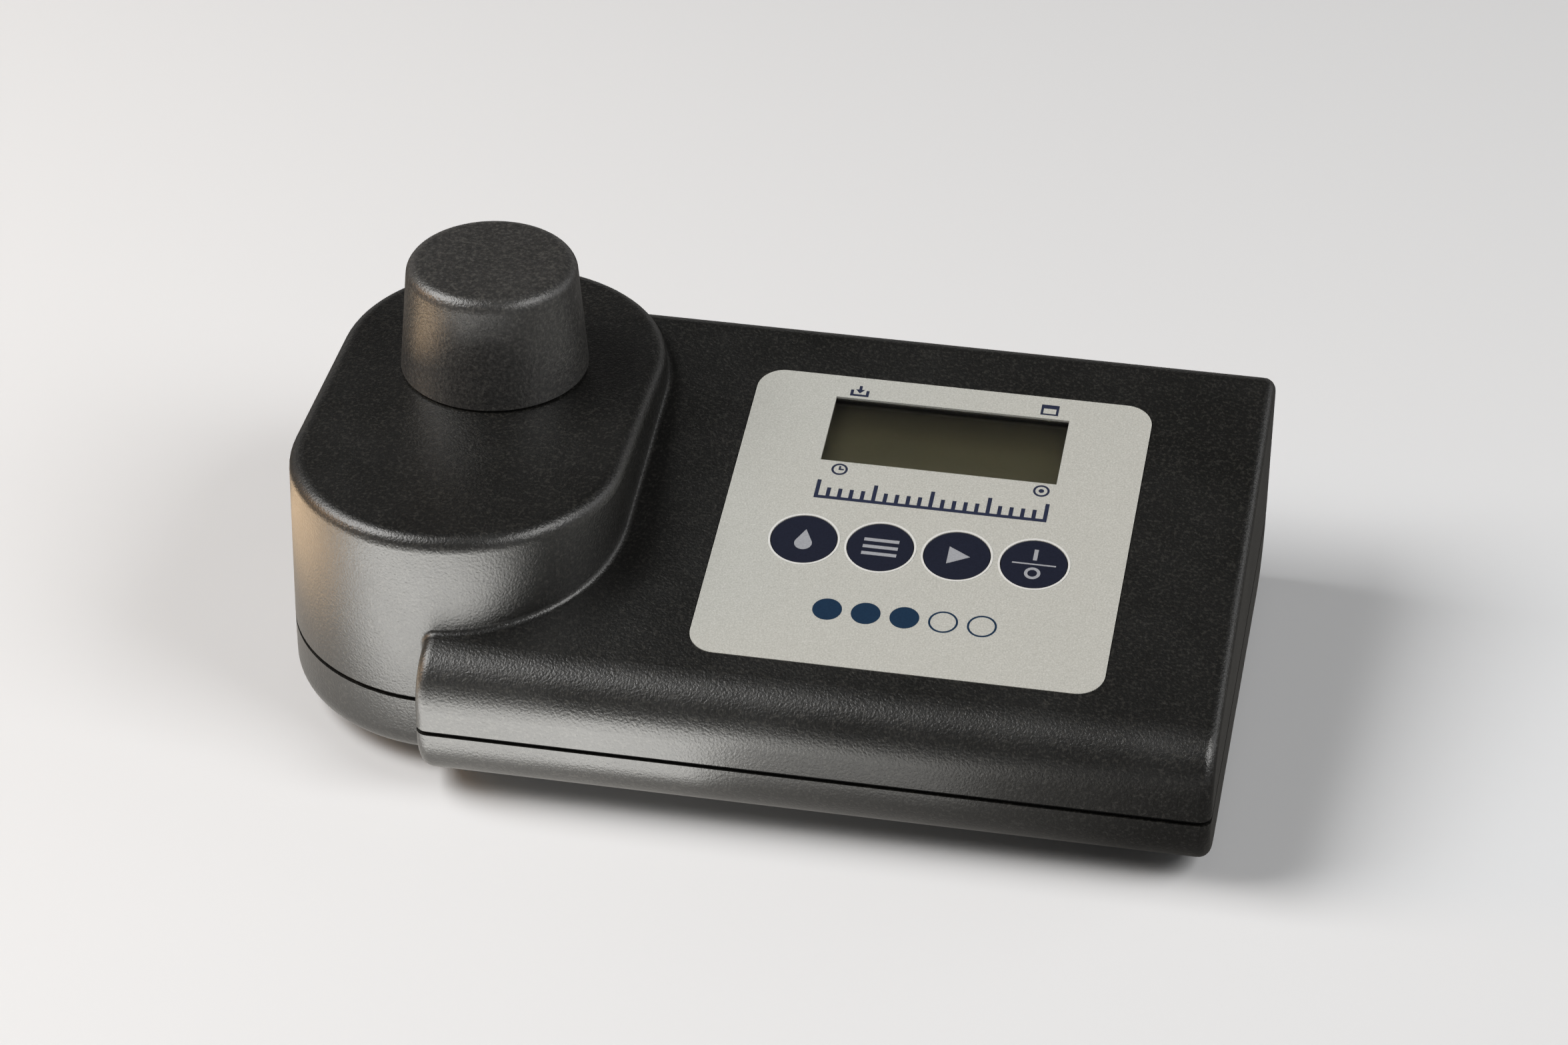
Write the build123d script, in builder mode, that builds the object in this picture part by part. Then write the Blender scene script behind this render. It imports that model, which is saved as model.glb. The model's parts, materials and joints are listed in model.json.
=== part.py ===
"""Portable turbidity meter: two-part housing with a sloping deck and an upright sample tower.

Millimetres. +X runs along the length with the tower at -X, +Y to the back, +Z up.
The origin is the centre of the object's outline on the surface that its feet stand on.
"""

import os
from math import cos, radians, sin, tan

from build123d import *

os.makedirs("parts", exist_ok=True)

# Overall sizes
length = 190.0
body_depth = 110.0
tower_overhang = 6.6
lower_height = 14.4
tower_rise = 37.5
foot_height = 2.5

# Housing walls and roundings
wall = 3.0
floor_thickness = 2.8
wall_draft = 1.0
deck_tilt = 10.3
deck_rise = 24.3
shoulder_radius = 11.0
deck_back_radius = 4.5
end_radius = 2.5
belly_radius = 13.0
tower_top_radius = 3.0
tower_foot_radius = 6.0
junction_radius = 1.2

# Tower
tower_radius = 34.0
tower_setback = 10.5
body_step = 0.8

# Seam
seal_height = 1.0
seal_inset = 0.8
seal_width = 1.0
tongue_height = 2.0
tongue_gap = 0.15

# Foil, keys and display
foil_width = 81.0
foil_depth = 81.4
foil_corner = 5.5
foil_thickness = 0.5
foil_gap = 0.15
foil_right_margin = 23.3
foil_front_margin = 14.0
spacer_thickness = 0.7
circuit_thickness = 0.4
key_radius = 6.53
key_gap = 0.15
key_pitch = 15.27
key_row_x = -0.2
key_row_y = -7.4
key_travel = 0.35
dome_radius = 4.5
display_width = 47.8
display_depth = 18.8
display_y = 25.0
display_rim = 0.6
window_thickness = 1.5
tail_width = 12.0
tail_thickness = 0.3
tail_y = -30.0

# Display cell and main board
cell_width = 54.0
cell_depth = 27.0
cell_thickness = 2.8
frame_wall = 2.0
strip_width = 2.2
board_width = 92.0
board_depth = 80.0
board_thickness = 1.6
board_drop = 10.9
part_gap = 0.1

# Sample chamber
vial_bore_radius = 12.4
chamber_wall = 3.1
chamber_inset_y = 6.2
bore_depth = 50.0
chamber_floor = 2.0
collar_rise = 3.0
mouth_chamfer = 0.6
flange_width = 9.0
flange_thickness = 3.0
flange_drop = 5.0
flange_bolt_inset = 3.5
flange_boss_radius = 3.5
locating_ring_wall = 1.6
locating_ring_height = 5.0
locating_ring_gap = 0.25

# Optical ports with their emitter, detector and small boards
optic_height = 18.0
port_size = 16.0
port_length = 8.5
aperture_radius = 2.5
seat_radius = 4.5
optic_window_thickness = 1.5
optic_window_inset = 1.5
emitter_radius = 2.45
emitter_nose = 2.4
emitter_flange_radius = 2.9
emitter_flange_height = 1.0
pin_pitch = 2.54
pin_radius = 0.25
pin_hole_radius = 0.4
pin_reach = 3.0
sensor_board_thickness = 1.6
sensor_screw_offset = 5.9

# Light cap
cap_wall = 1.2
cap_flare = 2.0
cap_height = 24.3
cap_edge_radius = 3.0
cap_foot_chamfer = 0.4
cap_roof = 2.6
collar_gap = 0.4
seat_gap = 0.1

# Battery
cell_block_length = 45.6
cell_block_width = 26.5
cell_block_height = 17.5
cell_edge_radius = 2.0
terminal_height = 2.9
terminals = [(-6.35, 2.9), (6.35, 4.0)]
snap_thickness = 3.5
snap_height = 12.5
battery_x_margin = 27.0
battery_front = 47.0
lead_room = 6.0
well_wall = 1.5
cover_thickness = 2.2
cover_lip = 2.0
cover_gap = 0.2
cover_corner = 2.8
rib_thickness = 1.2
rib_height = 4.0
rib_pitch = 18.0

# Fasteners and feet
screw_radius = 1.5
screw_clearance = 0.2
thread_clearance = 0.03
head_radius = 2.8
head_height = 2.2
head_chamfer = 0.5
boss_radius = 4.0
case_thread_depth = 12.0
screw_recess_radius = 3.2
screw_recess_depth = 5.5
cover_thread_depth = 9.0
countersink_radius = 2.45
countersink_height = 1.1
small_screw_radius = 1.0
small_screw_clearance = 0.15
small_head_radius = 1.9
small_head_height = 1.4
small_thread_depth = 6.0
board_boss_radius = 2.6
tip_gap = 1.0
foot_radius = 6.0
foot_recess = 1.2
foot_gap = 0.1
foot_chamfer = 0.6

# Leads
lead_radius = 0.55
lead_spacing = 3.0
lead_bend = 2.0
cable_radius = 0.9
cable_bend = 2.9
cable_offset = 4.5

# Places that follow from the sizes
tilt = radians(deck_tilt)
front_y = -(body_depth + tower_overhang) / 2
back_y = front_y + body_depth
left_x = -length / 2
right_x = length / 2
base_z = foot_height
seam_z = base_z + lower_height
rim_low_z = seam_z - seal_height / 2
rim_high_z = seam_z + seal_height / 2
floor_z = base_z + floor_thickness
tower_top_z = seam_z + tower_rise
tower_x = left_x + tower_radius
tower_front_y = front_y + tower_setback
tower_back_y = back_y + tower_overhang
tower_length = tower_back_y - tower_front_y
tower_y = (tower_front_y + tower_back_y) / 2
body_left_x = tower_x + body_step
body_x = (body_left_x + right_x) / 2
body_y = (front_y + back_y) / 2
body_width = right_x - body_left_x
foil_x = right_x - foil_right_margin - foil_width / 2
foil_y = front_y + foil_front_margin + foil_depth / 2 * cos(tilt)
deck = Plane(
    origin=(foil_x, foil_y, seam_z + deck_rise),
    x_dir=(1, 0, 0),
    z_dir=(0, -sin(tilt), cos(tilt)),
)
spacer_w = -foil_thickness - spacer_thickness
recess_w = spacer_w - circuit_thickness
board_top_w = -board_drop
board_low_w = board_top_w - board_thickness
cell_w = -wall - cell_thickness
key_places = [(key_row_x + key_pitch * (i - 1.5), key_row_y) for i in range(4)]
chamber_x = tower_x - 0.2
chamber_y = tower_back_y - tower_radius - chamber_inset_y
chamber_origin = (chamber_x, chamber_y)
chamber_radius = vial_bore_radius + chamber_wall
flange_radius = chamber_radius + flange_width
tower_boss_reach = flange_radius + boss_radius + 0.4
tower_boss_angle = radians(130.6)
case_points = [
    (right_x - 10, front_y + 14.3),
    (right_x - 10, back_y - 11.2),
    (body_left_x + 15.2, front_y + 11.3),
    (tower_x - 23, tower_front_y + 41.8),
    (
        chamber_x + tower_boss_reach * cos(tower_boss_angle),
        chamber_y + tower_boss_reach * sin(tower_boss_angle),
    ),
]
foot_points = [
    (right_x - 24, front_y + 22),
    (right_x - 24, back_y - 20.7),
    (tower_x - 18, tower_front_y + 25.8),
    (tower_x - 19, tower_back_y - 36.3),
]
above = 200.0


def deck_z(y):
    """Height of the deck's surface at a place y."""
    return seam_z + deck_rise + (y - foil_y) * tan(tilt)


def footprint(inset, z):
    """Outline of the housing seen from above, pulled in by inset."""
    with BuildSketch(Plane.XY.offset(z)) as plan:
        with Locations((body_x, body_y)):
            RectangleRounded(body_width - 2 * inset, body_depth - 2 * inset, end_radius)
        with Locations((tower_x, tower_y)):
            SlotOverall(tower_length - 2 * inset, 2 * (tower_radius - inset), rotation=90)
    return plan.sketch


def ring(outer_inset, inner_inset, z, height):
    """Band that follows the housing's outline between two insets."""
    with BuildPart() as band:
        extrude(footprint(outer_inset, z), amount=height)
        extrude(footprint(inner_inset, z), amount=height, mode=Mode.SUBTRACT)
    return band.part


def upper_form(inset, low_z):
    """Body with its sloping deck and rounded front, joined with the tower.

    The outer form has a small rounding all along the line where the tower's wall meets the deck.
    """
    drop = inset / cos(tilt)
    near_y = front_y + inset
    far_y = back_y - inset
    with BuildSketch(Plane.YZ.offset(body_left_x + inset)) as section:
        with BuildLine():
            Polyline(
                (near_y, low_z),
                (near_y, deck_z(near_y) - drop),
                (far_y, deck_z(far_y) - drop),
                (far_y, low_z),
                close=True,
            )
        make_face()
        front_corner = section.vertices().group_by(Axis.X)[0].sort_by(Axis.Y)[-1]
        fillet(front_corner, shoulder_radius - inset)
        back_corner = section.vertices().group_by(Axis.X)[-1].sort_by(Axis.Y)[-1]
        fillet(back_corner, deck_back_radius - inset)
    with BuildSketch(Plane.XY.offset(low_z)) as plan:
        with Locations((tower_x, tower_y)):
            SlotOverall(tower_length - 2 * inset, 2 * (tower_radius - inset), rotation=90)
    with BuildPart() as tower:
        extrude(plan.sketch, amount=tower_top_z - inset - low_z, taper=wall_draft)
        if inset == 0:
            fillet(tower.faces().sort_by(Axis.Z)[-1].edges(), tower_top_radius)
    with BuildPart() as form:
        extrude(section.sketch, amount=body_width - 2 * inset)
        if inset == 0:
            ends = form.faces().filter_by(Axis.X).edges()
            fillet(ends.filter_by_position(Axis.Z, low_z + 0.1, above), end_radius)
        add(tower.part)
        if inset == 0:
            deck_arcs = form.edges().filter_by(GeomType.ELLIPSE)
            fillet(deck_arcs, junction_radius)
    return form.part


def lower_form(inset, low_z, high_z):
    """Tray under the seam, with its long edges rolled in, joined with the tower's foot."""
    near_y = front_y + inset
    far_y = back_y - inset
    with BuildSketch(Plane.YZ.offset(body_left_x + inset)) as section:
        with Locations((body_y, (low_z + high_z) / 2)):
            Rectangle(far_y - near_y, high_z - low_z)
        fillet(section.vertices().group_by(Axis.Y)[0], belly_radius - inset)
    with BuildSketch(Plane.XY.offset(low_z)) as plan:
        with Locations((tower_x, tower_y)):
            SlotOverall(tower_length - 2 * inset, 2 * (tower_radius - inset), rotation=90)
    with BuildPart() as tower:
        extrude(plan.sketch, amount=high_z - low_z)
        fillet(tower.faces().sort_by(Axis.Z)[0].edges(), tower_foot_radius - inset)
    with BuildPart() as form:
        extrude(section.sketch, amount=body_width - 2 * inset)
        if inset == 0:
            ends = form.faces().filter_by(Axis.X).edges()
            fillet(ends.filter_by_position(Axis.Z, -above, high_z - 0.1), end_radius)
        add(tower.part)
    return form.part


def small_screw(shank):
    """Small screw with its head above z=0 and its shank below."""
    with BuildPart() as screw:
        Cylinder(small_head_radius, small_head_height, align=(Align.CENTER, Align.CENTER, Align.MIN))
        Cylinder(small_screw_radius, shank, align=(Align.CENTER, Align.CENTER, Align.MAX))
    return screw.part


def case_screw(shank):
    """Case screw with its chamfered head above z=0 and its shank below."""
    with BuildPart() as screw:
        Cylinder(head_radius, head_height, align=(Align.CENTER, Align.CENTER, Align.MIN))
        chamfer(screw.edges().sort_by(Axis.Z)[-1], head_chamfer)
        Cylinder(screw_radius, shank, align=(Align.CENTER, Align.CENTER, Align.MAX))
    return screw.part


def countersunk_screw(shank):
    """Countersunk screw whose head ends at z=0, with its shank below."""
    with BuildPart() as screw:
        Cone(
            screw_radius,
            countersink_radius,
            countersink_height,
            align=(Align.CENTER, Align.CENTER, Align.MAX),
        )
        Cylinder(screw_radius, shank, align=(Align.CENTER, Align.CENTER, Align.MAX))
    return screw.part


def wire(points, radii, radius):
    """Round wire along straight runs joined by arcs."""
    with BuildPart() as run:
        with BuildLine() as route:
            FilletPolyline(*points, radius=radii)
        start = Plane(origin=route.wire() @ 0, z_dir=route.wire() % 0)
        with BuildSketch(start):
            Circle(radius)
        sweep(path=route.wire())
    return run.part


# Chamber places
mouth_z = tower_top_z + collar_rise
bore_floor_z = mouth_z - bore_depth
chamber_low_z = bore_floor_z - chamber_floor
flange_top_z = tower_top_z - wall - flange_drop
flange_low_z = flange_top_z - flange_thickness
flange_bolts = (flange_radius - flange_bolt_inset, 3, 60)
optic_z = chamber_low_z + optic_height
port_reach = chamber_radius + port_length
emitter_plane = Plane(origin=(chamber_x, chamber_y, optic_z), x_dir=(1, 0, 0), z_dir=(0, 1, 0))
detector_plane = Plane(origin=(chamber_x, chamber_y, optic_z), x_dir=(0, 1, 0), z_dir=(1, 0, 0))
port_planes = [emitter_plane, detector_plane]
window_start = vial_bore_radius + optic_window_inset
holder_start = window_start + optic_window_thickness
sensor_screw_places = [
    (sensor_screw_offset, sensor_screw_offset),
    (-sensor_screw_offset, -sensor_screw_offset),
]
pin_places = [(-pin_pitch / 2, 0), (pin_pitch / 2, 0)]
sensor_thread_depth = small_thread_depth - 1
board_screw_grid = (board_width - 8, board_depth - 8, 2, 2)

# Battery places
battery_x_right = right_x - battery_x_margin
battery_y = front_y + battery_front + well_wall + cell_block_width / 2
pocket_length = cell_block_length + snap_thickness + lead_room + 1.0
pocket_width = cell_block_width + 2.0
pocket_x = battery_x_right - pocket_length / 2
cover_top_z = base_z + cover_thickness
block_low_z = cover_top_z + 0.3
pocket_top_z = block_low_z + cell_block_height + 0.4
well_top_z = pocket_top_z + well_wall
cover_screw_x = pocket_length / 2 + well_wall + boss_radius + 0.2
cover_length = 2 * (cover_screw_x + boss_radius - 0.2)
cover_width = pocket_width + 2 * well_wall + 2 * cover_lip
cover_points = [(pocket_x - cover_screw_x, battery_y), (pocket_x + cover_screw_x, battery_y)]
block_right_x = battery_x_right - 0.5
block_left_x = block_right_x - cell_block_length
block_mid_z = block_low_z + cell_block_height / 2

# Upper shell
with BuildPart() as upper_cavity:
    add(upper_form(wall, rim_high_z - 1))
    with BuildSketch(Plane.XY.offset(rim_low_z)):
        with Locations(*case_points):
            Circle(boss_radius)
    extrude(amount=above, mode=Mode.SUBTRACT)
    with BuildSketch(deck.offset(board_top_w)):
        with GridLocations(*board_screw_grid):
            Circle(board_boss_radius)
    extrude(amount=above, mode=Mode.SUBTRACT)
    with BuildSketch(Plane.XY.offset(flange_top_z)):
        with Locations(chamber_origin):
            with PolarLocations(*flange_bolts):
                Circle(flange_boss_radius)
    extrude(amount=above, mode=Mode.SUBTRACT)
with BuildPart() as upper_shell:
    add(upper_form(0, rim_high_z))
    add(upper_cavity.part, mode=Mode.SUBTRACT)
    with BuildSketch(Plane.XY.offset(rim_low_z)):
        with Locations(*case_points):
            Circle(boss_radius)
    extrude(amount=seal_height + 1)
    add(ring(seal_inset + seal_width, wall + 1, rim_high_z, tongue_height), mode=Mode.SUBTRACT)
    with BuildSketch(Plane.XY.offset(rim_low_z)):
        with Locations(*case_points):
            Circle(screw_radius + thread_clearance)
    extrude(amount=case_thread_depth, mode=Mode.SUBTRACT)
    with BuildSketch(deck.offset(board_top_w)):
        with GridLocations(*board_screw_grid):
            Circle(small_screw_radius + thread_clearance)
    extrude(amount=small_thread_depth, mode=Mode.SUBTRACT)
    with BuildSketch(Plane.XY.offset(flange_top_z)):
        with Locations(chamber_origin):
            with PolarLocations(*flange_bolts):
                Circle(small_screw_radius + thread_clearance)
    extrude(amount=small_thread_depth, mode=Mode.SUBTRACT)
    with BuildSketch(Plane.XY.offset(flange_top_z)):
        with Locations(chamber_origin):
            Circle(chamber_radius + collar_gap / 2)
    extrude(amount=above, mode=Mode.SUBTRACT)
    with BuildSketch(deck.offset(recess_w)):
        RectangleRounded(foil_width + 2 * foil_gap, foil_depth + 2 * foil_gap, foil_corner + foil_gap)
    extrude(amount=above, mode=Mode.SUBTRACT)
    with BuildSketch(deck.offset(-wall - 1)):
        with Locations((0, display_y)):
            Rectangle(display_width + 2 * display_rim, display_depth + 2 * display_rim)
        with Locations((0, tail_y)):
            Rectangle(tail_width + 2, tail_thickness + 2)
    extrude(amount=above, mode=Mode.SUBTRACT)
upper_shell.part.label = "upper_shell"
export_step(upper_shell.part, "parts/upper_shell.step")

# Lower shell
tongue_foot_z = rim_low_z - 0.5
well_front_y = battery_y - pocket_width / 2 - well_wall
belly_y = front_y + belly_radius - wall
with BuildPart() as lower_cavity:
    add(lower_form(wall, floor_z, rim_low_z + 1))
    with BuildSketch(Plane.XY.offset(base_z)):
        with Locations(*case_points):
            Circle(boss_radius + 1)
        with Locations(*cover_points):
            Circle(boss_radius)
    extrude(amount=above, mode=Mode.SUBTRACT)
with BuildPart() as lower_shell:
    add(lower_form(0, base_z, rim_low_z))
    add(lower_cavity.part, mode=Mode.SUBTRACT)
    add(
        ring(
            seal_inset + seal_width + tongue_gap,
            wall,
            tongue_foot_z,
            rim_high_z + tongue_height - tongue_gap - tongue_foot_z,
        )
    )
    with BuildSketch(Plane.XY.offset(floor_z - 0.5)):
        with Locations((pocket_x, battery_y)):
            Rectangle(pocket_length + 2 * well_wall, pocket_width + 2 * well_wall)
    extrude(amount=well_top_z - floor_z + 0.5)
    with BuildSketch(Plane.XY.offset(floor_z - 0.5)):
        with Locations((pocket_x, (belly_y + well_front_y) / 2)):
            with GridLocations(rib_pitch, 0, 3, 1):
                Rectangle(rib_thickness, well_front_y - belly_y + 1)
    extrude(amount=rib_height + 0.5)
    with BuildSketch(Plane.XY.offset(floor_z - 0.5)):
        with Locations(chamber_origin):
            Circle(chamber_radius + locating_ring_gap + locating_ring_wall)
    extrude(amount=locating_ring_height + 0.5)
    with BuildSketch(Plane.XY.offset(floor_z)):
        with Locations(chamber_origin):
            Circle(chamber_radius + locating_ring_gap)
    extrude(amount=locating_ring_height, mode=Mode.SUBTRACT)
    with BuildSketch(Plane.XY.offset(base_z)):
        with Locations((pocket_x, battery_y)):
            Rectangle(pocket_length, pocket_width)
    extrude(amount=pocket_top_z - base_z, mode=Mode.SUBTRACT)
    with BuildSketch(Plane.XY.offset(pocket_top_z - 1)):
        with Locations((pocket_x - pocket_length / 2 + lead_room / 2, battery_y)):
            Rectangle(lead_room - 1, 10)
    extrude(amount=well_wall + 2, mode=Mode.SUBTRACT)
    with BuildSketch(Plane.XY.offset(base_z)):
        with Locations((pocket_x, battery_y)):
            RectangleRounded(
                cover_length + 2 * cover_gap,
                cover_width + 2 * cover_gap,
                cover_corner + cover_gap,
            )
    extrude(amount=cover_thickness, mode=Mode.SUBTRACT)
    with BuildSketch(Plane.XY.offset(base_z)):
        with Locations(*foot_points):
            Circle(foot_radius + foot_gap)
    extrude(amount=foot_recess, mode=Mode.SUBTRACT)
    with BuildSketch(Plane.XY.offset(base_z)):
        with Locations(*case_points):
            Circle(screw_recess_radius)
    extrude(amount=screw_recess_depth, mode=Mode.SUBTRACT)
    with BuildSketch(Plane.XY.offset(base_z)):
        with Locations(*case_points):
            Circle(screw_radius + screw_clearance)
    extrude(amount=above, mode=Mode.SUBTRACT)
    with BuildSketch(Plane.XY.offset(base_z)):
        with Locations(*cover_points):
            Circle(screw_radius + thread_clearance)
    extrude(amount=cover_thread_depth, mode=Mode.SUBTRACT)
lower_shell.part.label = "lower_shell"
export_step(lower_shell.part, "parts/lower_shell.step")

# Seal in the seam
with BuildPart() as housing_seal:
    add(ring(seal_inset, seal_inset + seal_width, rim_low_z, seal_height))
housing_seal.part.label = "housing_seal"
export_step(housing_seal.part, "parts/housing_seal.step")

# Foil with its display opening and key openings
with BuildPart() as front_foil:
    with BuildSketch(deck.offset(-foil_thickness)):
        RectangleRounded(foil_width, foil_depth, foil_corner)
        with Locations((0, display_y)):
            Rectangle(display_width, display_depth, mode=Mode.SUBTRACT)
        with Locations(*key_places):
            Circle(key_radius + key_gap, mode=Mode.SUBTRACT)
    extrude(amount=foil_thickness)
front_foil.part.label = "front_foil"
export_step(front_foil.part, "parts/front_foil.step")

# Spacer under the foil
with BuildPart() as keypad_spacer:
    with BuildSketch(deck.offset(spacer_w)):
        RectangleRounded(foil_width, foil_depth, foil_corner)
        with Locations((0, display_y)):
            Rectangle(
                display_width + 2 * display_rim + 0.2,
                display_depth + 2 * display_rim + 0.2,
                mode=Mode.SUBTRACT,
            )
        with Locations(*key_places):
            Circle(key_radius + 2 * key_gap, mode=Mode.SUBTRACT)
    extrude(amount=spacer_thickness)
keypad_spacer.part.label = "keypad_spacer"
export_step(keypad_spacer.part, "parts/keypad_spacer.step")

# Circuit layer that the domes sit on
with BuildPart() as keypad_circuit:
    with BuildSketch(deck.offset(recess_w)):
        RectangleRounded(foil_width, foil_depth, foil_corner)
        with Locations((0, display_y)):
            Rectangle(
                display_width + 2 * display_rim + 0.2,
                display_depth + 2 * display_rim + 0.2,
                mode=Mode.SUBTRACT,
            )
    extrude(amount=circuit_thickness)
keypad_circuit.part.label = "keypad_circuit"
export_step(keypad_circuit.part, "parts/keypad_circuit.step")

# Snap domes, each a shallow cap whose crown meets its key at the end of the stroke
dome_foot_w = recess_w + circuit_thickness
dome_rise = -foil_thickness - key_travel - 0.02 - dome_foot_w
dome_sphere = (dome_radius**2 + dome_rise**2) / (2 * dome_rise)
with BuildPart() as key_domes:
    with BuildSketch(Plane.XZ) as dome_section:
        with BuildLine():
            Line((0, 0), (dome_radius, 0))
            RadiusArc((dome_radius, 0), (0, dome_rise), -dome_sphere)
            Line((0, dome_rise), (0, 0))
        make_face()
    dome = revolve(dome_section.sketch, axis=Axis.Z, mode=Mode.PRIVATE)
    with Locations(deck.offset(dome_foot_w)):
        with Locations(*key_places):
            add(dome)
key_domes.part.label = "key_domes"
export_step(key_domes.part, "parts/key_domes.step")

# Keys
key_names = ["key_info", "key_mode", "key_read", "key_power"]
for name, place in zip(key_names, key_places):
    with BuildPart() as key:
        with BuildSketch(deck.offset(-foil_thickness)):
            with Locations(place):
                Circle(key_radius)
        extrude(amount=foil_thickness)
    key.part.label = name
    export_step(key.part, "parts/" + name + ".step")

# Clear pane under the foil's opening
with BuildPart() as lcd_window:
    with BuildSketch(deck.offset(-foil_thickness - window_thickness)):
        with Locations((0, display_y)):
            Rectangle(
                display_width + 2 * display_rim - 0.2,
                display_depth + 2 * display_rim - 0.2,
            )
    extrude(amount=window_thickness)
lcd_window.part.label = "lcd_window"
export_step(lcd_window.part, "parts/lcd_window.step")

# Display cell against the underside of the deck
with BuildPart() as lcd_glass:
    with BuildSketch(deck.offset(cell_w)):
        with Locations((0, display_y - 1)):
            Rectangle(cell_width, cell_depth)
    extrude(amount=cell_thickness)
lcd_glass.part.label = "lcd_glass"
export_step(lcd_glass.part, "parts/lcd_glass.step")

# Holder between the deck and the board
with BuildPart() as lcd_frame:
    with BuildSketch(deck.offset(board_top_w)):
        with Locations((0, display_y - 1)):
            Rectangle(
                cell_width + 2 * (frame_wall + part_gap),
                cell_depth + 2 * (frame_wall + part_gap),
            )
            Rectangle(cell_width + 2 * part_gap, cell_depth + 2 * part_gap, mode=Mode.SUBTRACT)
    extrude(amount=-wall - board_top_w)
    with BuildSketch(deck.offset(board_top_w)):
        with Locations((0, display_y - 1)):
            Rectangle(cell_width + 1, cell_depth - 2 * strip_width - 2 * part_gap)
            Rectangle(cell_width - 6, cell_depth - 2 * strip_width - 4, mode=Mode.SUBTRACT)
    extrude(amount=cell_w - board_top_w)
lcd_frame.part.label = "lcd_frame"
export_step(lcd_frame.part, "parts/lcd_frame.step")

# Elastic contact strips from the cell to the board
with BuildPart() as zebra_strips:
    with BuildSketch(deck.offset(board_top_w)):
        with Locations((0, display_y - 1)):
            with GridLocations(0, cell_depth - strip_width, 1, 2):
                Rectangle(cell_width - 2, strip_width)
    extrude(amount=cell_w - board_top_w)
zebra_strips.part.label = "zebra_strips"
export_step(zebra_strips.part, "parts/zebra_strips.step")

# Main board
with BuildPart() as main_board:
    with BuildSketch(deck.offset(board_low_w)):
        RectangleRounded(board_width, board_depth, 2)
        with GridLocations(*board_screw_grid):
            Circle(small_screw_radius + small_screw_clearance, mode=Mode.SUBTRACT)
    extrude(amount=board_thickness)
main_board.part.label = "main_board"
export_step(main_board.part, "parts/main_board.step")

# Board screws, driven from below
board_screw = small_screw(board_thickness + small_thread_depth - tip_gap)
with BuildPart() as board_screws:
    board_underside = Plane(origin=deck.offset(board_low_w).origin, x_dir=(1, 0, 0), z_dir=-deck.z_dir)
    with Locations(board_underside):
        with GridLocations(*board_screw_grid):
            add(board_screw)
board_screws.part.label = "board_screws"
export_step(board_screws.part, "parts/board_screws.step")

# Parts soldered to the board: tail connector on top, processor, memory, amplifier, crystal,
# capacitors and three wire connectors below
tail_connector_height = 2.5
connector_width = 6.0
connector_depth = 8.0
connector_height = 3.0
capacitor_radius = 2.5
sensor_connector_y = [10.0, 26.0]
board_left = -board_width / 2
battery_connector_x = -30.0
battery_connector_y = 8.0
chips = [
    (4, -8, 12, 12, 1.4),
    (-20, -14, 5, 6, 1.5),
    (-30, -22, 5, 6, 1.5),
    (24, -22, 6, 9, 1.5),
    (24, -34, 11, 4.5, 3.0),
]
with BuildPart() as board_components:
    with BuildSketch(deck.offset(board_top_w)):
        with Locations((0, tail_y)):
            Rectangle(tail_width + 3, 4)
            Rectangle(tail_width + 2 * part_gap, tail_thickness + 2 * part_gap, mode=Mode.SUBTRACT)
    extrude(amount=tail_connector_height)
    for x, y, width, depth, height in chips:
        with BuildSketch(deck.offset(board_low_w)):
            with Locations((x, y)):
                Rectangle(width, depth)
        extrude(amount=-height)
    with BuildSketch(deck.offset(board_low_w)):
        with Locations((-20, -30), (-8, -32)):
            Circle(capacitor_radius)
        for y in sensor_connector_y:
            with Locations((board_left + connector_width / 2, y)):
                Rectangle(connector_width, connector_depth)
        with Locations((battery_connector_x, battery_connector_y)):
            Rectangle(connector_width, connector_depth)
    extrude(amount=-connector_height)
board_components.part.label = "board_components"
export_step(board_components.part, "parts/board_components.step")

# Flat tail from the circuit layer down to its connector
with BuildPart() as keypad_tail:
    with BuildSketch(deck.offset(board_top_w + 0.4)):
        with Locations((0, tail_y)):
            Rectangle(tail_width, tail_thickness)
    extrude(amount=recess_w - board_top_w - 0.4)
keypad_tail.part.label = "keypad_tail"
export_step(keypad_tail.part, "parts/keypad_tail.step")

# Sample chamber: bore, collar, flange and two optical ports at a right angle
with BuildPart() as sample_chamber:
    with BuildSketch(Plane.XY.offset(chamber_low_z)):
        with Locations(chamber_origin):
            Circle(chamber_radius)
    extrude(amount=mouth_z - chamber_low_z)
    with BuildSketch(Plane.XY.offset(flange_low_z)):
        with Locations(chamber_origin):
            Circle(flange_radius)
    extrude(amount=flange_thickness)
    for plane in port_planes:
        with BuildSketch(plane):
            Rectangle(port_size, port_size)
        extrude(amount=port_reach)
    with BuildSketch(Plane.XY.offset(bore_floor_z)):
        with Locations(chamber_origin):
            Circle(vial_bore_radius)
    extrude(amount=above, mode=Mode.SUBTRACT)
    for plane in port_planes:
        with BuildSketch(plane):
            Circle(aperture_radius)
        extrude(amount=port_reach, mode=Mode.SUBTRACT)
        with BuildSketch(plane.offset(window_start)):
            Circle(seat_radius)
        extrude(amount=port_reach, mode=Mode.SUBTRACT)
        with BuildSketch(plane.offset(port_reach - sensor_thread_depth)):
            with Locations(*sensor_screw_places):
                Circle(small_screw_radius + thread_clearance)
        extrude(amount=sensor_thread_depth + 1, mode=Mode.SUBTRACT)
    with BuildSketch(Plane.XY.offset(flange_low_z - 1)):
        with Locations(chamber_origin):
            with PolarLocations(*flange_bolts):
                Circle(small_screw_radius + small_screw_clearance)
    extrude(amount=flange_thickness + 2, mode=Mode.SUBTRACT)
    mouth = sample_chamber.faces().sort_by(Axis.Z)[-1]
    chamfer(mouth.edges(), mouth_chamfer)
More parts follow.
